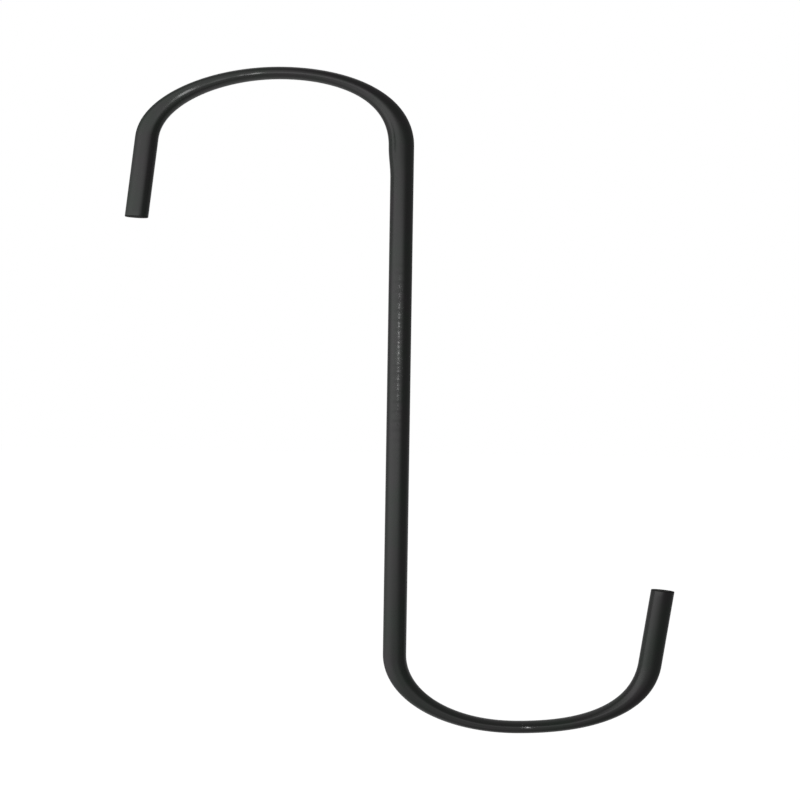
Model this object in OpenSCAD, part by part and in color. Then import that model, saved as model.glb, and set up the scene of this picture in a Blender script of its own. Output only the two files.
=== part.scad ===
// S hook, bent from one round rod and coated black.
//
// The shank stands upright along Z. The upper bend goes over to the left (-X) and comes down in the
// upper leg; the lower bend goes round to the right (+X) and comes up in the lower leg. The whole
// hook lies in the XZ plane, with half the rod on each side of it.
// The origin is on the underside of the upper bend's crown, where the hook hangs on its rail.
// Lengths are in millimetres and angles in degrees.

/* [Rod] */
// Diameter of the rod in the shank and both legs, coating included
rod_d = 10.8; // [6:0.2:14]
// Thickness of the rod at the crown of each bend, measured in the plane of the hook
crown_t = 5.6; // [4:0.2:14]

/* [Bends] */
// Clear width of each throat, between the leg and the shank at the foot of the bend, bulge aside
throat_w = 107.2; // [50:0.2:140]
// Clear height of each bend, from its foot to the inside of its crown
throat_h = 30; // [20:0.5:70]
// How far the crown of each bend lies from the middle of its throat, towards the shank
crown_shift = 3.5; // [0:0.5:6]
// How far the upper bend's shoulder by the shank stands out past a half ellipse, in percent
upper_shank_shoulder = 1.5; // [-5:0.5:6]
// How far the upper bend's shoulder by the leg stands out past a half ellipse, in percent
upper_leg_shoulder = 0; // [-5:0.5:6]
// How far the lower bend's shoulder by the shank stands out past a half ellipse, in percent
lower_shank_shoulder = 0; // [-5:0.5:6]
// How far the lower bend's shoulder by the leg stands out past a half ellipse, in percent
lower_leg_shoulder = 4.5; // [-5:0.5:6]
// How far the rod bulges into the upper throat where the bend leaves the shank
upper_bulge = 1; // [0:0.1:2]
// How far round the bend the bulge reaches, in degrees
bulge_turn = 56; // [20:2:80]
// How far along the shank the bulge runs out
bulge_run = 15; // [4:1:30]

/* [Shank and legs] */
// Straight length of the shank, from the foot of one bend to the foot of the other
shank_l = 234; // [80:1:320]
// Straight length of the upper leg, from the end of its bend to the middle of its cut
upper_leg_l = 37; // [15:0.5:60]
// Straight length of the lower leg, from the end of its bend to the middle of its cut
lower_leg_l = 34.5; // [15:0.5:60]
// How far the upper leg splays away from the shank
upper_flare = 6.5; // [0:0.5:20]
// How far the lower leg splays away from the shank
lower_flare = 9; // [0:0.5:20]
// How far the cut across each free end is off square
cut_tilt = 4; // [0:0.5:15]

/* [Smoothness] */
// Facets around the rod in a bend
rod_sides = 32; // [24:4:48]
// Steps along each half of a bend
half_bend_steps = 20; // [12:1:30]
// Steps along the shank where the bulge runs out
run_steps = 5; // [2:1:10]

/* [Hidden] */

coat_colour = [0.15, 0.155, 0.15];
// Half width and rise of a bend, measured to the middle of the rod
bend_rx = (throat_w + rod_d) / 2;
bend_rz = throat_h + crown_t / 2;
// A bend reaches this far inside the straights at its ends, where its skin lies this much lower
lap = 1;
lap_step = 0.08;
// A cutting block of this size takes off any free end
cut_block = 3 * rod_d;

// A bend is followed by an angle that grows from 0 at the shank, past 90 at the crown, to last_angle
// where it meets the leg. A splayed leg leaves the half ellipse before it has come all the way round.
function last_angle(flare) = 180 - atan(tan(flare) * bend_rz / bend_rx);

// 0 at both ends of a bend and 1 at its crown
function rise(a, last) = a < 90 ? a / 90 : (last - a) / (last - 90);

// Middle of the rod at angle a, seen from the shank's end at [0, 0]: [x, z]
function bend_point(a, last, shank_shoulder, leg_shoulder) =
    let (
        up = rise(a, last),
        percent = a < 90 ? shank_shoulder : leg_shoulder,
        out = 1 + percent / 100 * pow(sin(180 * up), 2)
    )
    [bend_rx * (out * cos(a) - 1) + crown_shift * pow(sin(90 * up), 2), bend_rz * out * sin(a)];

// Unit vector along the rod at angle a, on the way from the shank to the leg: [x, z]
function bend_direction(a, last, shank_shoulder, leg_shoulder) =
    let (
        nudge = 0.01,
        ahead = bend_point(a + nudge, last, shank_shoulder, leg_shoulder),
        behind = bend_point(a - nudge, last, shank_shoulder, leg_shoulder)
    )
    (ahead - behind) / norm(ahead - behind);

// The rod has its full diameter where it runs along the shank or the leg, and thins to the crown,
// where it lies level
function thickness(direction, flare) =
    let (
        tilt = atan2(-direction.x, direction.y),
        turn = tilt < 90 ? tilt : 90 * (180 - flare - tilt) / (90 - flare)
    )
    norm([(rod_d - 2 * lap_step) * cos(turn), crown_t * sin(turn)]);

// 1 at the foot of a bend, where the bulge is highest, and 0 from where the bulge ends
function fade(part) = part < 1 ? pow(cos(90 * part), 2) : 0;

// One ring of points round the rod: an ellipse as deep as the rod and as thick as the bend is there,
// stretched into the throat by the bulge
function ring(middle, direction, thick, bulge) = [
    for (i = [0:rod_sides - 1])
        let (
            turn = 360 * i / rod_sides,
            out = middle + [direction.y, -direction.x] * ((thick + bulge) * cos(turn) - bulge) / 2
        )
        [out.x, (rod_d / 2 - lap_step) * sin(turn), out.y]
];

// Side walls between neighbouring rings, two triangles to each step, and a flat face at each end
function tube_faces(rings) = [
    for (r = [0:rings - 2], i = [0:rod_sides - 1])
        let (
            next = (i + 1) % rod_sides,
            low = r * rod_sides,
            high = low + rod_sides
        )
        each [[low + i, high + i, low + next], [low + next, high + i, high + next]],
    [for (i = [0:rod_sides - 1]) i],
    [for (i = [rod_sides - 1:-1:0]) (rings - 1) * rod_sides + i]
];

// A bend, standing on the shank's end at the origin and coming down to the left. Its first rings lie
// along the shank, where the bulge runs out.
module bend(flare, shank_shoulder, leg_shoulder, bulge) {
    last = last_angle(flare);
    angles = [
        for (i = [0:half_bend_steps]) 90 * i / half_bend_steps,
        for (i = [1:half_bend_steps]) 90 + (last - 90) * i / half_bend_steps
    ];
    last_ring = len(angles) - 1;
    points = [
        for (i = [run_steps:-1:1])
            let (
                along = bulge_run * i / run_steps,
                past_end = i == run_steps ? lap : 0
            )
            each ring([0, -along - past_end], [0, 1], rod_d - 2 * lap_step, bulge * fade(i / run_steps)),
        for (i = [0:last_ring])
            let (
                direction = bend_direction(angles[i], last, shank_shoulder, leg_shoulder),
                past_end = i == last_ring ? lap : 0,
                middle = bend_point(angles[i], last, shank_shoulder, leg_shoulder) + past_end * direction
            )
            each ring(middle, direction, thickness(direction, flare), bulge * fade(angles[i] / bulge_turn))
    ];
    polyhedron(points, tube_faces(run_steps + len(angles)));
}

// A straight leg that points up from the origin, its free end cut a little shorter towards the shank
module leg(length) {
    difference() {
        cylinder(h = length + rod_d, d = rod_d, $fn = 4 * rod_sides);
        translate([0, 0, length])
            rotate([0, -cut_tilt, 0])
                translate([-cut_block / 2, -cut_block / 2, 0])
                    cube(cut_block);
    }
}

// One end of the hook: a bend with its leg, standing on the shank's end at the origin
module hook_end(flare, leg_l, shank_shoulder, leg_shoulder, bulge = 0) {
    last = last_angle(flare);
    foot = bend_point(last, last, shank_shoulder, leg_shoulder);
    bend(flare, shank_shoulder, leg_shoulder, bulge);
    translate([foot.x, 0, foot.y])
        rotate([0, 180 + flare, 0])
            leg(leg_l);
}

module s_hook() {
    color(coat_colour)
        translate([bend_rx - crown_shift, 0, -throat_h - shank_l]) {
            translate([0, 0, bulge_run])
                cylinder(h = shank_l - 2 * bulge_run, d = rod_d, $fn = 4 * rod_sides);
            translate([0, 0, shank_l])
                hook_end(upper_flare, upper_leg_l, upper_shank_shoulder, upper_leg_shoulder, upper_bulge);
            rotate([0, 180, 0])
                hook_end(lower_flare, lower_leg_l, lower_shank_shoulder, lower_leg_shoulder);
        }
}

s_hook();
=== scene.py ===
# %% [markdown]
# # A black coated S hook
#
# An S hook is one round steel rod, bent twice and then coated with black powder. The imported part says
# where it is and how large it is. This script puts a smoother rod with a real coat in its place, and
# sets up a small white studio round it.
#
# The part is loaded first. Its box is kept, because the finished rod must not grow past it.

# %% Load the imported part
import math

import bmesh
import bpy
from mathutils import Matrix, Vector


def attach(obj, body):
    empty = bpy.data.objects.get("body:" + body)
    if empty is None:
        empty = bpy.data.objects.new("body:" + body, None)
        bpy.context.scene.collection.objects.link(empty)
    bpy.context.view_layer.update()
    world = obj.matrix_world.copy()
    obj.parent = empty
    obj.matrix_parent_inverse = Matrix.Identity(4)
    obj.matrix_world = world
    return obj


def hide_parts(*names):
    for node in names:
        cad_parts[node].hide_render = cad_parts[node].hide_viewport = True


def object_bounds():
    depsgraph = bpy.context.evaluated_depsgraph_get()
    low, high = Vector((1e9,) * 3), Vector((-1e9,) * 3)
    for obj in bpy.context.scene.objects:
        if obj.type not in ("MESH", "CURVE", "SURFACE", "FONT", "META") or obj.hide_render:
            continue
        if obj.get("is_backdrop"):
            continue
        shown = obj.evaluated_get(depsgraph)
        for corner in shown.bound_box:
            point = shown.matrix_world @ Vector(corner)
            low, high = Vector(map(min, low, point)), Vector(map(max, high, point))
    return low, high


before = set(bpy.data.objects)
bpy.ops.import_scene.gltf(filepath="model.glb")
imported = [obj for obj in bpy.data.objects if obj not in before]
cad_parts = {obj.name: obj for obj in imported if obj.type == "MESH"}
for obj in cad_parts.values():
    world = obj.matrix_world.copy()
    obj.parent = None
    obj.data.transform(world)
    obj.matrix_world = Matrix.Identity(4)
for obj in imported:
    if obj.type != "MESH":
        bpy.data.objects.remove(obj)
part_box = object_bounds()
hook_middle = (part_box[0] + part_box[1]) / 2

mm = 0.001


def in_mm(place, digits=1):
    """A size or a place in millimetres, to print."""
    return [round(side / mm, digits) for side in place]


print("The part holds", sorted(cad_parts), "and measures", in_mm(part_box[1] - part_box[0]), "mm")

# %% [markdown]
# ## The sizes that the bender works to
#
# A rod bender works from a short list: how thick the rod is, how wide and how high each bend is, how
# long the straights are and how far the two legs splay. The sizes could be measured off the packed
# mesh, but a list says what each number is for. It is the same as the part's own, here in metres.
#
# The rod is round in its straights. In the bends it is thinner, as seen from the front, and keeps its
# full depth. Where the upper bend leaves the shank, the squeezed metal bulges a little into the
# throat.

# %% The list of sizes
rod = 10.79 * mm  # 0.01 mm under the part's own, which keeps its faces inside the part's box
crown_thickness = 5.6 * mm
throat_width = 107.2 * mm
throat_height = 30 * mm
crown_shift = 3.5 * mm  # how far each crown lies from the middle of its throat, towards the shank
shank_length = 234 * mm
cut_off_square = math.radians(4)
bulge_turn = math.radians(56)  # how far round a bend its bulge reaches
bulge_run = 15 * mm  # how far along the shank it runs out

# For each end: the leg's length and splay, how far the two shoulders of its bend stand out, as a
# share of the bend, and its bulge
upper_end = {
    "leg": 37 * mm,
    "splay": math.radians(6.5),
    "shank_shoulder": 0.015,
    "leg_shoulder": 0,
    "bulge": 1 * mm,
}
lower_end = {
    "leg": 34.5 * mm,
    "splay": math.radians(9),
    "shank_shoulder": 0,
    "leg_shoulder": 0.045,
    "bulge": 0,
}

half_width = (throat_width + rod) / 2
bend_height = throat_height + crown_thickness / 2
print("Each bend is", round(2 * half_width / mm, 1), "mm wide from middle to middle of the rod")

# %% [markdown]
# ## The line down the middle of the rod
#
# A bend could be a curve object with handles, which is quick to pull about but hard to measure. Here
# it is half of an ellipse, walked by an angle that starts at the shank, is a right angle at the crown
# and stops where the leg begins. Its crown is then moved a little towards the shank, and a shoulder
# may stand out from the ellipse. The way that the rod points says how thick it is there.

# %% Walk along a bend
quarter_turn = math.pi / 2


def last_angle(end):
    """The angle at which a bend meets its splayed leg."""
    return math.pi - math.atan(math.tan(end["splay"]) * bend_height / half_width)


def way_up(angle, end):
    """0 at both ends of a bend and 1 at its crown."""
    last = last_angle(end)
    return angle / quarter_turn if angle < quarter_turn else (last - angle) / (last - quarter_turn)


def middle(angle, end):
    """The middle of the rod, from the place where the bend leaves the shank."""
    up = way_up(angle, end)
    shoulder = end["shank_shoulder"] if angle < quarter_turn else end["leg_shoulder"]
    out = 1 + shoulder * math.sin(math.pi * up) ** 2
    across = half_width * (out * math.cos(angle) - 1) + crown_shift * math.sin(quarter_turn * up) ** 2
    return Vector((across, 0, bend_height * out * math.sin(angle)))


def heading(angle, end):
    """Which way the rod runs there, on its way from the shank to the leg."""
    nudge = math.radians(0.01)
    return (middle(angle + nudge, end) - middle(angle - nudge, end)).normalized()


def thickness(direction, end):
    """How thick the rod is, seen from the front: full along the shank and the leg, least when level."""
    tilt = math.atan2(-direction.x, direction.z)
    past_crown = quarter_turn * (math.pi - end["splay"] - tilt) / (quarter_turn - end["splay"])
    turn = tilt if tilt < quarter_turn else past_crown
    return math.hypot(rod * math.cos(turn), crown_thickness * math.sin(turn))


def fade(part):
    """1 at the foot of a bend, where its bulge is highest, and 0 from where the bulge ends."""
    return math.cos(quarter_turn * part) ** 2 if part < 1 else 0


for name, end in (("upper", upper_end), ("lower", lower_end)):
    print("The", name, "bend stops at", round(math.degrees(last_angle(end)), 1), "degrees")

# %% [markdown]
# ## A row of hoops
#
# A bent rod could be a straight cylinder with a bend modifier, or a circle that follows a path. Both
# keep one section all the way. This rod changes its section, so it is built like a paper lantern: a
# row of hoops is set out along the middle line, each as wide, as deep and as tilted as the rod is
# there, and a skin is then stretched from hoop to hoop.
#
# Both ends are made by the same walk, each from its own list. The lower end is also turned half way
# round in the plane of the hook, which the matrix at the foot of the shank does.

# %% Set out the hoops
steps_in_half_bend = 40
run_steps = 8
leg_steps = 8
short_of_cut = 3 * mm  # the last hoop before a cut keeps this far off it
spare_leg = rod  # each leg is made too long by this much, and sawn off later


def slant(angle):
    """Straight down, swung to the left by an angle."""
    return Vector((-math.sin(angle), 0, -math.cos(angle)))


def hoop(place, direction, thick, bulge=0):
    """Turns and sizes a circle of radius 1 to be the rod's section there."""
    outward = Vector((direction.z, 0, -direction.x))
    axes = Matrix((outward * (thick + bulge) / 2, (0, rod / 2, 0), direction)).transposed()
    return Matrix.Translation(place - outward * bulge / 2) @ axes.to_4x4()


def half_hook(end):
    """Hoops from the shank, round the bend and down to the tip of the leg."""
    up = Vector((0, 0, 1))
    last = last_angle(end)
    hoops = []
    for part in [i / run_steps for i in range(run_steps, 0, -1)]:
        hoops.append(hoop(-up * bulge_run * part, up, rod, end["bulge"] * fade(part)))
    angles = [quarter_turn * i / steps_in_half_bend for i in range(steps_in_half_bend + 1)]
    for i in range(1, steps_in_half_bend + 1):
        angles.append(quarter_turn + (last - quarter_turn) * i / steps_in_half_bend)
    for angle in angles:
        way = heading(angle, end)
        bulge = end["bulge"] * fade(angle / bulge_turn)
        hoops.append(hoop(middle(angle, end), way, thickness(way, end), bulge))
    down = slant(end["splay"])
    clear_leg = end["leg"] - short_of_cut
    reaches = [clear_leg * i / leg_steps for i in range(1, leg_steps + 1)]
    for reach in [*reaches, end["leg"] + spare_leg]:
        hoops.append(hoop(middle(last, end) + down * reach, down, rod))
    return hoops


shank_place = half_width - crown_shift
shank_top = Matrix.Translation((shank_place, 0, -throat_height))
shank_foot = Matrix.Translation((shank_place, 0, -throat_height - shank_length))
shank_foot = shank_foot @ Matrix.Rotation(math.pi, 4, "Y")

for name, end in (("upper", upper_end), ("lower", lower_end)):
    print("Hoops in the", name, "end:", len(half_hook(end)))

# %% [markdown]
# ## The skin
#
# Each hoop is a circle from Blender's own circle operator, put in its place by its matrix, and each
# pair of neighbours is joined by a bridge. A Skin modifier would also clothe a line, but it works out
# its own sections, and a bridge leaves every hoop as it was set. The shank needs hoops too, or its
# faces would be long slivers.
#
# Neighbouring corners share their edges, so a list of those edges names each of them twice. A set
# would drop the doubles, but it shuffles the rest, and each run would number the mesh in another way.

# %% Stretch the skin
sides = 64
shank_steps = 36


def each_once(items):
    """The same items in the same order, each of them once."""
    return list(dict.fromkeys(items))


def draw_hoop(mesh, place):
    """Adds one hoop to a mesh and returns its edges."""
    made = bmesh.ops.create_circle(mesh, segments=sides, radius=1, matrix=place)
    return each_once(edge for corner in made["verts"] for edge in corner.link_edges)


upper = [shank_top @ place for place in half_hook(upper_end)]
lower = [shank_foot @ place for place in half_hook(lower_end)]
plain_shank = shank_length - 2 * bulge_run
shank = [
    Matrix.Translation((0, 0, -plain_shank * i / shank_steps)) @ upper[0] for i in range(1, shank_steps)
]

rod_mesh = bmesh.new()
rings = [draw_hoop(rod_mesh, place) for place in [*reversed(upper), *shank, *lower]]
for one, next_one in zip(rings, rings[1:]):
    bmesh.ops.bridge_loops(rod_mesh, edges=one + next_one)
print("The open tube has", len(rod_mesh.faces), "faces")

# %% [markdown]
# ## The two sawn ends
#
# The legs are still too long and open. Their last hoops could be tilted and closed, but a real end is
# sawn, and so is this one. A saw cut is a plane through the mesh: everything past it is thrown away
# and the hole is filled. The cut isn't quite square, and leaves the leg a little shorter on the side
# towards the shank. The coat rounds the sawn edge by a few tenths of a millimetre, so the rim gets a
# small bevel. The bevel numbers its new faces in another order on each run, so the faces are sorted by
# their corners afterwards, and every run gives the same mesh.

# %% Saw the legs off and round the rims
rim_rounding = 0.35 * mm
saw_reach = 3 * rod  # the saw only touches what lies this near to the middle of its cut


def saw(mesh, cut_middle, outward):
    """Cuts a leg off, closes and rounds its end, and returns how many edges the rim had."""
    tip = [corner for corner in mesh.verts if (corner.co - cut_middle).length < saw_reach]
    tip_faces = each_once(face for corner in tip for face in corner.link_faces)
    tip_edges = each_once(edge for face in tip_faces for edge in face.edges)
    tip_corners = each_once(corner for face in tip_faces for corner in face.verts)
    cut = bmesh.ops.bisect_plane(
        mesh,
        geom=[*tip_corners, *tip_edges, *tip_faces],
        plane_co=cut_middle,
        plane_no=outward,
        clear_outer=True,
    )
    rim = [edge for edge in cut["geom_cut"] if isinstance(edge, bmesh.types.BMEdge)]
    bmesh.ops.edgeloop_fill(mesh, edges=rim)
    bmesh.ops.bevel(
        mesh, geom=rim, offset=rim_rounding, affect="EDGES", segments=3, profile=0.5, material=-1
    )
    return len(rim)


def cut_of(end, place):
    """The middle of a cut and the way it faces."""
    cut_middle = middle(last_angle(end), end) + slant(end["splay"]) * end["leg"]
    return place @ cut_middle, place.to_3x3() @ slant(end["splay"] - cut_off_square)


upper_cut, upper_face = cut_of(upper_end, shank_top)
lower_cut, lower_face = cut_of(lower_end, shank_foot)
for cut_middle, outward in ((upper_cut, upper_face), (lower_cut, lower_face)):
    print("Sawn through", saw(rod_mesh, cut_middle, outward), "edges at", in_mm(cut_middle), "mm")

# %% Sort the faces
def from_corners(face):
    """A number for each face. Squares keep faces apart whose corners have the same plain sum."""
    return sum(corner.index ** 2 for corner in face.verts)


rod_mesh.verts.index_update()
rod_mesh.faces.sort(key=from_corners)
different = len({from_corners(face) for face in rod_mesh.faces})
print(len(rod_mesh.faces), "faces are sorted by", different, "different numbers")

# %% [markdown]
# ## How far each place is from a sawn end
#
# The coat lies thin and dull on a sawn end, but gathers on its rounded rim. The material needs to know
# where the rim is, so each corner of the mesh carries its distance from the plane of the nearest cut
# as an attribute. The same distance picks the faces that take the dull coat. Painting a mask by hand
# would do too, but a measured one can't slip.

# %% Measure to the cuts
near_cut_middle = 2 * rod  # only what lies this near to the middle of a cut is measured
elsewhere = 1  # what the rest of the rod carries: a metre, which is far from any cut
end_depth = 1.1 * rim_rounding  # the faces of a sawn end, its rim among them, lie in this depth


def to_cut(point, cut_middle, outward):
    """How far a point lies in front of or behind the plane of a cut."""
    near = (point - cut_middle).length < near_cut_middle
    return abs((point - cut_middle).dot(outward)) if near else elsewhere


from_cut = rod_mesh.verts.layers.float.new("from_cut")
for corner in rod_mesh.verts:
    to_upper_cut = to_cut(corner.co, upper_cut, upper_face)
    to_lower_cut = to_cut(corner.co, lower_cut, lower_face)
    corner[from_cut] = min(to_upper_cut, to_lower_cut)

bmesh.ops.recalc_face_normals(rod_mesh, faces=rod_mesh.faces)
for face in rod_mesh.faces:
    face.smooth = len(face.verts) < sides  # all but the two flat sawn faces
    on_sawn_end = all(corner[from_cut] < end_depth for corner in face.verts)
    face.material_index = 1 if on_sawn_end else 0
sawn_faces = sum(face.material_index for face in rod_mesh.faces)
print(sawn_faces, "faces are on the sawn ends, and take the second material")

# %% Make the piece
def make_object(name, mesh):
    """Turns a finished bmesh into an object of the scene."""
    data = bpy.data.meshes.new(name)
    mesh.to_mesh(data)
    mesh.free()
    made = bpy.data.objects.new(name, data)
    bpy.context.scene.collection.objects.link(made)
    return made


volume = rod_mesh.calc_volume()
hook_rod = make_object("hook_rod", rod_mesh)
print("The rod holds", round(volume * 1e6, 2), "cubic centimetres of steel and coat")

# %% [markdown]
# ## Small helpers for materials
#
# A material is a net of nodes. It could be drawn by hand in the editor, but a script can be read,
# changed and run again. A few helpers keep the cells below short. They make a node and set its
# sockets by name, and they make the small nets that come back again and again: cloudy blotches, a
# stretched range, a sum, a blend of two colours and a bump.

# %% Helpers for nodes
def add_node(tree, kind, sockets=(), **settings):
    """Makes a node with these settings, and puts values in its sockets by name."""
    node = tree.nodes.new(kind)
    for name, value in settings.items():
        setattr(node, name, value)
    for name, value in dict(sockets).items():
        node.inputs[name].default_value = value
    return node


def new_material(name):
    """An empty material."""
    material = bpy.data.materials.new(name)
    material.use_nodes = True
    material.node_tree.nodes.clear()
    return material


def finish_net(tree, shader, output="ShaderNodeOutputMaterial"):
    """Ends a net with its output node, which takes the shader."""
    tree.links.new(shader, add_node(tree, output).inputs["Surface"])


print("Helpers for nodes are ready")

# %% Helpers for patterns
def blotches(tree, place, size, detail=2.0):
    """Soft cloudy noise whose blotches are about this large, in metres."""
    noise = add_node(tree, "ShaderNodeTexNoise", {"Scale": 1 / size, "Detail": detail, "Roughness": 0.5})
    tree.links.new(place, noise.inputs["Vector"])
    return noise.outputs["Fac"]


def spread(tree, value, low, high, to_low, to_high):
    """Stretches the part of a value between low and high over a new range."""
    node = add_node(
        tree,
        "ShaderNodeMapRange",
        {"From Min": low, "From Max": high, "To Min": to_low, "To Max": to_high},
        interpolation_type="SMOOTHSTEP",
    )
    tree.links.new(value, node.inputs["Value"])
    return node.outputs["Result"]


def work_out(tree, operation, one, other=0.0):
    """Adds, multiplies or otherwise joins two values; either may be a number."""
    node = add_node(tree, "ShaderNodeMath", operation=operation)
    for socket, value in zip(node.inputs, (one, other)):
        if isinstance(value, (int, float)):
            socket.default_value = value
        else:
            tree.links.new(value, socket)
    return node.outputs["Value"]


def blend_colours(tree, amount, one, other):
    """One colour where the amount is 0 and the other where it is 1."""
    node = add_node(tree, "ShaderNodeMix", data_type="RGBA")
    tree.links.new(amount, node.inputs["Factor"])
    for socket, value in ((node.inputs["A"], one), (node.inputs["B"], other)):
        if isinstance(value, tuple):
            socket.default_value = (*value, 1)
        else:
            tree.links.new(value, socket)
    return node.outputs["Result"]


def squeeze(tree, place, scale):
    """The same place with its three directions squeezed, which stretches what is drawn on it."""
    mapping = add_node(tree, "ShaderNodeMapping", {"Scale": scale})
    tree.links.new(place, mapping.inputs["Vector"])
    return mapping.outputs["Vector"]


def raise_by(tree, pattern, depth, strength=1.0, on_top_of=None):
    """Bumps a surface by a pattern, on top of another bump where one is given."""
    bump = add_node(tree, "ShaderNodeBump", {"Strength": strength, "Distance": depth})
    tree.links.new(pattern, bump.inputs["Height"])
    if on_top_of is not None:
        tree.links.new(on_top_of, bump.inputs["Normal"])
    return bump.outputs["Normal"]


print("Helpers for patterns are ready")

# %% [markdown]
# ## The black coat
#
# Powder coat is sprayed on dry and baked until it flows. One flat black with a gloss value would be
# quick, but it would look like plastic pipe, because a real coat is never quite one black. So two near
# blacks are blended by soft noise of two sizes: one drifts slowly along the rod, and the other mottles
# it.

# %% Mix the black coat
greenish_black = (0.0105, 0.0175, 0.0120)
violet_black = (0.0175, 0.0140, 0.0165)
noise_low = 0.35  # soft noise seldom goes past these two
noise_high = 0.65
drift_size = 30 * mm
drift_share = 0.6  # of the way from one black to the other
mottle_size = 8 * mm
mottle_share = 0.4

coat = new_material("black_powder_coat")
net = coat.node_tree
place = add_node(net, "ShaderNodeTexCoord").outputs["Object"]

drift = spread(net, blotches(net, place, drift_size), noise_low, noise_high, 0, drift_share)
mottle = spread(net, blotches(net, place, mottle_size), noise_low, noise_high, 0, mottle_share)
coat_colour = blend_colours(net, work_out(net, "ADD", drift, mottle), greenish_black, violet_black)
print("The coat's colour uses", len(net.nodes), "nodes so far")

# %% [markdown]
# ## Ripples from the rollers
#
# Rod comes off a coil, and rollers straighten it. Where they gripped the middle of the shank, they
# left faint ripples along its front, which the coat carries through as a row of bright dots. They
# could be modelled, but they are only about a tenth of a millimetre high, and a bump shows them as
# well. The ripples are a sine along the shank. Soft noise makes its pace wander, or it would look like
# a screw thread, and it is faded out towards the sides and past the place where the rollers gripped.

# %% Set out the ripples
ripple_length = 4.4 * mm
grip_middle = -126 * mm
full_grip = 25 * mm  # to either side of the middle
end_of_grip = 50 * mm
ripples_full = -0.46 * rod  # how far forward the ripples have their full height
ripples_gone = -0.38 * rod
wander_size = 15 * mm
wander_turn = 8  # how much the noise hurries or holds back the sine, in radians

axes = add_node(net, "ShaderNodeSeparateXYZ")
net.links.new(place, axes.inputs["Vector"])
from_grip = work_out(net, "ABSOLUTE", work_out(net, "SUBTRACT", axes.outputs["Z"], grip_middle))
gripped = spread(net, from_grip, full_grip, end_of_grip, 1, 0)
in_front = spread(net, axes.outputs["Y"], ripples_full, ripples_gone, 1, 0)
along = work_out(net, "MULTIPLY", axes.outputs["Z"], 2 * math.pi / ripple_length)
height_only = squeeze(net, place, (0, 0, 1))
wander = work_out(net, "MULTIPLY", blotches(net, height_only, wander_size), wander_turn)
ripple = work_out(net, "SINE", work_out(net, "ADD", along, wander))
ripples = work_out(net, "MULTIPLY", ripple, work_out(net, "MULTIPLY", gripped, in_front))
print("The rollers left about", round(2 * end_of_grip / ripple_length), "ripples")

# %% [markdown]
# ## Gloss and bumps of the coat
#
# The baked skin keeps shallow waves a millimetre or two long, which makers call orange peel, and they
# break every small reflection into a row of specks. Moving the mesh would need millions of faces for
# waves this small, so they are a bump, with the ripples under them and a finer grain over them. The
# waves are wider across the shank than along it. The thin clear layer on top follows the waves but
# not the grain, which gives small sharp glints on a softer sheen, and the gloss wanders a little.

# %% Add the gloss and the bumps
squeeze_across = 0.55
gloss_size = 12 * mm
gloss_noise = (0.3, 0.7)  # the part of the noise that is spread over the range of gloss
most_gloss = 0.26  # as roughness, so less is glossier
least_gloss = 0.33
peel_size = 1.2 * mm
grain_size = 0.3 * mm
ripple_depth = 0.06 * mm
peel_depth = 0.015 * mm
grain_depth = 0.01 * mm

peel_place = squeeze(net, place, (squeeze_across, squeeze_across, 1))
gloss = blotches(net, peel_place, gloss_size, detail=3)
roughness = spread(net, gloss, *gloss_noise, most_gloss, least_gloss)

peel = blotches(net, peel_place, peel_size, detail=1.0)
grain = blotches(net, peel_place, grain_size)
rippled = raise_by(net, ripples, ripple_depth)
peeled = raise_by(net, peel, peel_depth, on_top_of=rippled)
grained = raise_by(net, grain, grain_depth, strength=0.6, on_top_of=peeled)

skin = add_node(
    net,
    "ShaderNodeBsdfPrincipled",
    {"IOR": 1.5, "Coat Weight": 0.25, "Coat Roughness": 0.12, "Coat IOR": 1.5},
)
net.links.new(coat_colour, skin.inputs["Base Color"])
net.links.new(roughness, skin.inputs["Roughness"])
net.links.new(grained, skin.inputs["Normal"])
net.links.new(peeled, skin.inputs["Coat Normal"])
finish_net(net, skin.outputs["BSDF"])
hook_rod.data.materials.append(coat)
print("The black coat is a net of", len(net.nodes), "nodes")

# %% [markdown]
# ## The coat on the sawn ends
#
# A sawn face is rough, and the coat lies thin and dull on it, with the marks of the saw showing
# through as paler lines. So an end hardly shines, even where it is seen at a slant. Painting the
# marks on would work too, but a wave texture gives them at their real spacing. This second material
# is laid only on the sawn faces and their rounded rims. The rims, where the coat gathers, are nearly
# black.

# %% Mix the coat of the sawn ends
thick_coat_grey = (0.020, 0.021, 0.020)
thin_coat_grey = (0.065, 0.065, 0.062)
sawn_rim_black = (0.008, 0.008, 0.008)
saw_mark_spacing = 0.6 * mm
saw_mark_depth = 0.06 * mm
grit_size = 0.5 * mm
wave_pace = 20  # the wave texture turns this many radians in a metre, at a scale of 1
# The saw marks and the grit add up to a height. The coat thins from the first of these two heights to
# the second, and gets less rough between the next two.
coat_thins = (0.5, 1.3)
coat_smooths = (0.3, 1.6)
roughest = 0.85
least_rough = 0.65
sawn_rim_width = 0.4 * rim_rounding

sawn_coat = new_material("sawn_end_coat")
net = sawn_coat.node_tree
place = add_node(net, "ShaderNodeTexCoord").outputs["Object"]
wave_scale = 2 * math.pi / (wave_pace * saw_mark_spacing)
saw_marks = add_node(
    net,
    "ShaderNodeTexWave",
    {"Scale": wave_scale, "Distortion": 1.5, "Detail": 2.0, "Detail Scale": 1.5},
    bands_direction="X",
)
net.links.new(place, saw_marks.inputs["Vector"])
grit = blotches(net, place, grit_size, detail=3)
saw_height = work_out(net, "ADD", saw_marks.outputs["Fac"], grit)
sawn = raise_by(net, saw_height, saw_mark_depth)

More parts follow.
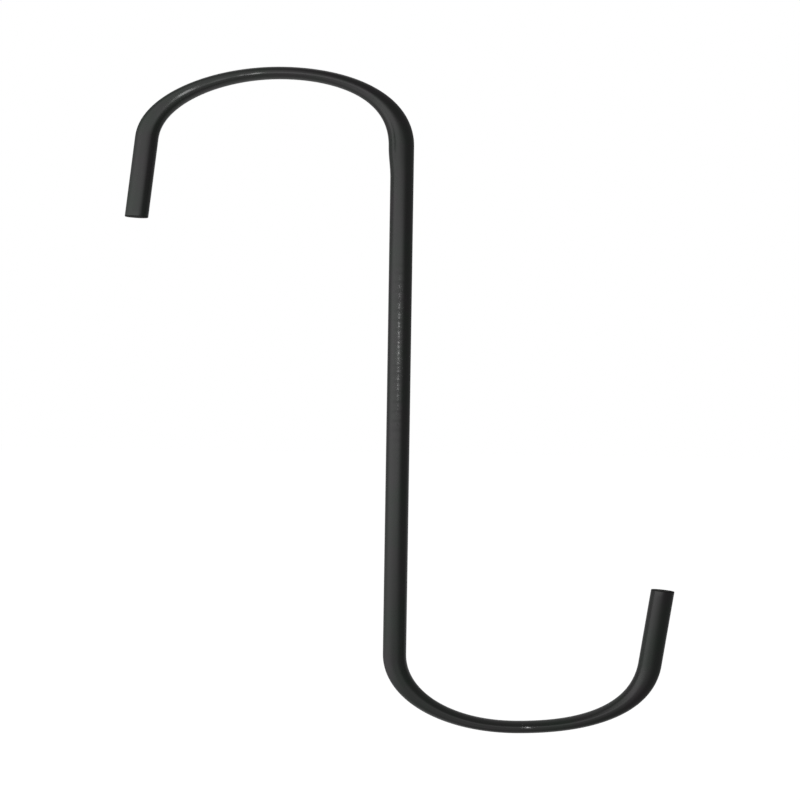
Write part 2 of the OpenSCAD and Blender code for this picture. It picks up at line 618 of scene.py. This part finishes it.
thin_coat = spread(net, saw_height, *coat_thins, 0, 1)
near_cut = add_node(net, "ShaderNodeAttribute", attribute_name="from_cut").outputs["Fac"]
on_rim = spread(net, near_cut, 0, sawn_rim_width, 0, 1)
colour = blend_colours(net, thin_coat, thick_coat_grey, thin_coat_grey)
colour = blend_colours(net, on_rim, colour, sawn_rim_black)

matt = add_node(net, "ShaderNodeBsdfPrincipled", {"IOR": 1.5, "Specular IOR Level": 0.15})
net.links.new(colour, matt.inputs["Base Color"])
net.links.new(spread(net, saw_height, *coat_smooths, roughest, least_rough), matt.inputs["Roughness"])
net.links.new(sawn, matt.inputs["Normal"])
finish_net(net, matt.outputs["BSDF"])
hook_rod.data.materials.append(sawn_coat)
print("The sawn ends' coat is a net of", len(net.nodes), "nodes")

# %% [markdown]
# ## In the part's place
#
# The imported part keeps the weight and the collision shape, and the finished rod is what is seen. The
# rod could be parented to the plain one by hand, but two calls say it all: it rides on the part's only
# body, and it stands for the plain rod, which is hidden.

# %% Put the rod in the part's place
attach(hook_rod, "root")
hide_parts("s_hook")
print("The rod rides on the part's body and stands for its plain one")

# %% [markdown]
# ## The white studio
#
# A black glossy thing shows hardly any colour of its own, so what stands round it matters as much as
# its coat. A studio could be a room, or a curved sheet of paper. Here the world itself is white
# wherever the eye looks, which leaves no corner or seam. It lights the hook with much less than it
# shows, or the black would turn grey. The coat doesn't mirror this white either, because a tent, which
# a later step puts up, stands in the way.

# %% White surroundings
white = (1, 1, 1, 1)
fill_level = 0.32


def backdrop_rays(tree):
    """1 for rays from the eye, a mirror or glass, and 0 for the light that falls on things."""
    ray = add_node(tree, "ShaderNodeLightPath")
    seen = work_out(tree, "MAXIMUM", ray.outputs["Is Camera Ray"], ray.outputs["Is Glossy Ray"])
    return work_out(tree, "MAXIMUM", seen, ray.outputs["Is Transmission Ray"])


world = bpy.data.worlds.new("studio")
bpy.context.scene.world = world
world.use_nodes = True
sky = world.node_tree
sky.nodes.clear()
seen_in_sky = backdrop_rays(sky)
fill = add_node(sky, "ShaderNodeBackground", {"Color": white, "Strength": fill_level})
backdrop = add_node(sky, "ShaderNodeBackground", {"Color": white, "Strength": 1.0})
either = add_node(sky, "ShaderNodeMixShader")
sky.links.new(seen_in_sky, either.inputs["Fac"])
sky.links.new(fill.outputs["Background"], either.inputs[1])
sky.links.new(backdrop.outputs["Background"], either.inputs[2])
finish_net(sky, either.outputs["Shader"], "ShaderNodeOutputWorld")
print("The surroundings are white and light the hook at a level of", fill_level)

# %% [markdown]
# ## The pale floor
#
# The floor lies far enough down for the hook to hang free. A glowing white disc would melt into the
# surroundings, but it would show no shadow. So the floor is pale paint, lit like any other, and a glow
# that the eye sees, but that lights nothing, lifts it to the white behind it.

# %% Lay the floor
floor_level = -0.46
floor_radius = 12
floor_grey = (0.8, 0.8, 0.8, 1)
floor_glow = 0.75

floor_mesh = bmesh.new()
bmesh.ops.create_circle(floor_mesh, cap_ends=True, segments=96, radius=floor_radius)
bmesh.ops.translate(floor_mesh, verts=floor_mesh.verts, vec=(0, 0, floor_level))
studio_floor = make_object("studio_floor", floor_mesh)
studio_floor.visible_glossy = False
studio_floor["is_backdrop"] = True

floor_paint = new_material("pale_floor")
paint = floor_paint.node_tree
seen_on_floor = backdrop_rays(paint)
pale_paint = add_node(paint, "ShaderNodeBsdfDiffuse", {"Color": floor_grey})
lift = add_node(paint, "ShaderNodeEmission", {"Color": white})
paint.links.new(work_out(paint, "MULTIPLY", seen_on_floor, floor_glow), lift.inputs["Strength"])
both = add_node(paint, "ShaderNodeAddShader")
paint.links.new(pale_paint.outputs["BSDF"], both.inputs[0])
paint.links.new(lift.outputs["Emission"], both.inputs[1])
finish_net(paint, both.outputs["Shader"])
studio_floor.data.materials.append(floor_paint)
print("The floor lies", round((part_box[0].z - floor_level) / mm), "mm under the hook")

# %% [markdown]
# ## A tent for the reflections
#
# A glossy black thing looks its best in a tent of cloth, bright on one side and dim on the other,
# because the coat mirrors all of it. One way is a set of cards with hard edges. Here the tent is one
# sphere, and each patch of bright cloth on it has soft edges, so the rod shades softly from side to
# side. A patch lies between two turns round the hook, where 0 is the camera's side and 90 the right,
# and between two heights above the horizon, all in degrees. A turn past 180 or a height past 90 says
# that the patch has no edge there. Only reflections see the tent.

# %% Plan the tent
tent_radius = 0.3
plain_cloth = 0.168
bright_cloths = [
    {"name": "window", "level": 1.10, "turn": (-95, 19), "height": (-17, 28), "soft": (52, 40)},
    {"name": "window_foot", "level": 0.77, "turn": (-111, -24), "height": (-58, -21), "soft": (70, 46)},
    {"name": "window_head", "level": 0.66, "turn": (-91, -14), "height": (29, 66), "soft": (28, 32)},
    {"name": "pale_floor", "level": 0.15, "turn": (-300, 78), "height": (-120, -63), "soft": (40, 40)},
    {"name": "near_floor", "level": 0.34, "turn": (-9, 38), "height": (-75, -26), "soft": (50, 22)},
    {"name": "far_floor", "level": 0.14, "turn": (116, 300), "height": (-72, -6), "soft": (12, 10)},
    {"name": "far_left", "level": 0.12, "turn": (-300, -128), "height": (-75, 73), "soft": (70, 12)},
    {"name": "far_right", "level": 0.16, "turn": (176, 300), "height": (-79, 77), "soft": (46, 12)},
]
print("In a tent", 2 * tent_radius, "m across:", ", ".join(patch["name"] for patch in bright_cloths))

# %% Dye the cloth
tent_cloth = new_material("tent_cloth")
tent_cloth.cycles.emission_sampling = "NONE"
cloth = tent_cloth.node_tree
from_middle = add_node(cloth, "ShaderNodeVectorMath", operation="SUBTRACT")
from_middle.inputs[1].default_value = hook_middle
tent_place = add_node(cloth, "ShaderNodeTexCoord").outputs["Object"]
cloth.links.new(tent_place, from_middle.inputs[0])
apart = add_node(cloth, "ShaderNodeSeparateXYZ")
cloth.links.new(from_middle.outputs["Vector"], apart.inputs["Vector"])
to_front = work_out(cloth, "MULTIPLY", apart.outputs["Y"], -1)
turn = work_out(cloth, "DEGREES", work_out(cloth, "ARCTAN2", apart.outputs["X"], to_front))
sine = work_out(cloth, "DIVIDE", apart.outputs["Z"], tent_radius)
height = work_out(cloth, "DEGREES", work_out(cloth, "ARCSINE", sine))

brightness = plain_cloth
for patch in bright_cloths:
    level = patch["level"]
    for value, key, soft in ((turn, "turn", patch["soft"][0]), (height, "height", patch["soft"][1])):
        low, high = patch[key]
        rise = spread(cloth, value, low - soft / 2, low + soft / 2, 0, 1)
        fall = spread(cloth, value, high - soft / 2, high + soft / 2, 1, 0)
        level = work_out(cloth, "MULTIPLY", level, work_out(cloth, "MULTIPLY", rise, fall))
    brightness = work_out(cloth, "ADD", brightness, level)

tent_light = add_node(cloth, "ShaderNodeEmission", {"Color": white})
cloth.links.new(brightness, tent_light.inputs["Strength"])
finish_net(cloth, tent_light.outputs["Emission"])
print("The tent's cloth is a net of", len(cloth.nodes), "nodes")

# %% Put up the tent
def stand_in_reflections(name, mesh, material):
    """Stands a thing in the studio that only reflections see."""
    thing = make_object(name, mesh)
    thing.data.materials.append(material)
    thing.visible_camera = thing.visible_diffuse = thing.visible_shadow = False
    thing.visible_transmission = thing.visible_volume_scatter = False
    thing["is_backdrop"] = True


tent_mesh = bmesh.new()
bmesh.ops.create_uvsphere(tent_mesh, u_segments=128, v_segments=64, radius=tent_radius)
bmesh.ops.translate(tent_mesh, verts=tent_mesh.verts, vec=hook_middle)
print("The tent has", len(tent_mesh.faces), "faces")
stand_in_reflections("reflection_tent", tent_mesh, tent_cloth)

# %% [markdown]
# ## Bright cards for the glints
#
# A glint is the mirror image of something small and bright. Small lamps would do, but they are hard
# to keep to one place. White cards do it better: a large one 18 centimetres in front of the rod shows
# in most of the ripples on the shank, and a small one a few centimetres away at a single place. Each
# card stands where the camera's line of sight goes on to from the place to be lit, once the rod has
# mirrored it. Only reflections see the cards, so they cast no shadow and don't show in the picture.
# The rod's far edges would mirror them too, so a card fades out for any ray that has come from farther
# off than the place it is there to light.

# %% Cut the cards
front = -rod / 2
# The name, the place lit, the way to the card, its distance, its width and height, its glow and its
# roll. Lengths are in millimetres and the roll is in degrees.
cards = [
    ("shank", (54.9, -126), (-0.12, -0.99, 0.02), 180, 38, 32, 9.0, 0),
    ("shoulder", (-44.7, -7.9), (0.03, -1.0, -0.06), 22, 6, 16, 6.4, 31),
    ("crown_1", (-29.5, -1.8), (0.06, -0.95, -0.30), 20, 4, 11, 2.0, 0),
    ("crown_2", (-18.8, 0.8), (0, -0.95, -0.30), 12, 1.5, 7, 4.5, 0),
    ("crown_3", (-12.5, 1.6), (0, -0.90, -0.40), 15, 4.5, 9, 6.5, 0),
    ("crown_4", (5, 2.2), (0, -0.82, -0.57), 40, 26, 20, 1.5, 0),
    ("lower", (117, -296.2), (0.04, -0.87, 0.50), 9, 1, 6, 17.0, 0),
]

card_mesh = bmesh.new()
card_glow = card_mesh.faces.layers.float.new("glow")
card_reach = card_mesh.faces.layers.float.new("reach")
for name, (across, up), way, distance, wide, high, glow, roll in cards:
    way = Vector(way).normalized()
    card_place = Vector((across * mm, front, up * mm)) + way * distance * mm
    turn_card = (-way).to_track_quat("Z", "Y").to_matrix().to_4x4()
    roll_card = Matrix.Rotation(math.radians(-roll), 4, "Z")
    size_card = Matrix.Diagonal((wide * mm, high * mm, 1, 1))
    set_up = Matrix.Translation(card_place) @ turn_card @ roll_card @ size_card
    made = bmesh.ops.create_grid(card_mesh, x_segments=1, y_segments=1, size=0.5, matrix=set_up)
    for face in each_once(face for corner in made["verts"] for face in corner.link_faces):
        face[card_glow] = glow
        face[card_reach] = math.hypot(distance, high / 2) * mm
    print("The card for the", name, "is at", in_mm(card_place), "mm")

# %% Light the cards
fade_begins = 0.2 * mm  # past the card's own reach
fade_ends = 1.2 * mm

card_paper = new_material("card_paper")
card_paper.cycles.emission_sampling = "NONE"
paper = card_paper.node_tree
card_light = add_node(paper, "ShaderNodeEmission", {"Color": white})
glow_of_card = add_node(paper, "ShaderNodeAttribute", attribute_name="glow").outputs["Fac"]
reach_of_card = add_node(paper, "ShaderNodeAttribute", attribute_name="reach").outputs["Fac"]
ray_length = add_node(paper, "ShaderNodeLightPath").outputs["Ray Length"]
too_far = work_out(paper, "SUBTRACT", ray_length, reach_of_card)
left_over = spread(paper, too_far, fade_begins, fade_ends, 1, 0)
paper.links.new(work_out(paper, "MULTIPLY", glow_of_card, left_over), card_light.inputs["Strength"])
finish_net(paper, card_light.outputs["Emission"])
stand_in_reflections("bright_cards", card_mesh, card_paper)
print(len(cards), "cards stand in front of the rod")

# %% [markdown]
# ## The lamp
#
# The coat's own black, the saw marks and the shadow on the floor need plain light. A small lamp would
# draw hard shadows, so this is one large soft lamp on the left. It stays out of the reflections, which
# see the tent instead.

# %% Set up the lamp
soft_light = bpy.data.lights.new("soft_lamp", "AREA")
soft_light.shape = "RECTANGLE"
soft_light.size = 0.9
soft_light.size_y = 1.1
soft_light.energy = 12
soft_lamp = bpy.data.objects.new("soft_lamp", soft_light)
bpy.context.scene.collection.objects.link(soft_lamp)
soft_lamp.location = (-1.3, -0.9, 0.45)
soft_lamp.rotation_euler = (hook_middle - soft_lamp.location).to_track_quat("-Z", "Y").to_euler()
soft_lamp.visible_glossy = False
print("The lamp stands", round((hook_middle - soft_lamp.location).length, 2), "m away")

# %% [markdown]
# ## The camera
#
# A short lens would swell whatever is nearest, and a camera without perspective would look like a
# drawing. A long lens from a metre away keeps the two bends the same size and shows the hook almost
# flat, as a catalogue does. The hook hangs a touch off plumb, which is a roll of the camera here.

# %% Place the camera
right_of_shank = 0.7 * mm  # what the camera looks at, from the line of the shank
aim_height = -147 * mm
picture_pixels = 800
pixel_size = 0.4608 * mm  # on the hook
off_plumb = math.radians(0.902)

view_centre = Vector((shank_place + right_of_shank, 0, aim_height))
view_width = picture_pixels * pixel_size
camera_data = bpy.data.cameras.new("camera")
camera_data.lens = 100
camera_data.sensor_width = 36
camera = bpy.data.objects.new("camera", camera_data)
bpy.context.scene.collection.objects.link(camera)
camera_distance = view_width * camera_data.lens / camera_data.sensor_width
camera.location = view_centre - Vector((0, camera_distance, 0))
camera.rotation_euler = (math.pi / 2, -off_plumb, 0)
bpy.context.scene.camera = camera
bpy.context.scene.view_settings.view_transform = "Standard"
print("The camera stands", round(camera_distance, 3), "m in front of the hook")

# %% [markdown]
# ## The two boxes
#
# The rod may not stick out of the box that the part had at the start. Both boxes are printed, one after
# the other.

# %% Print the boxes and finish
rod_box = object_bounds()
for name, box in (("part", part_box), ("rod", rod_box)):
    print("The", name, "reaches from", in_mm(box[0], 2), "to", in_mm(box[1], 2), "mm")
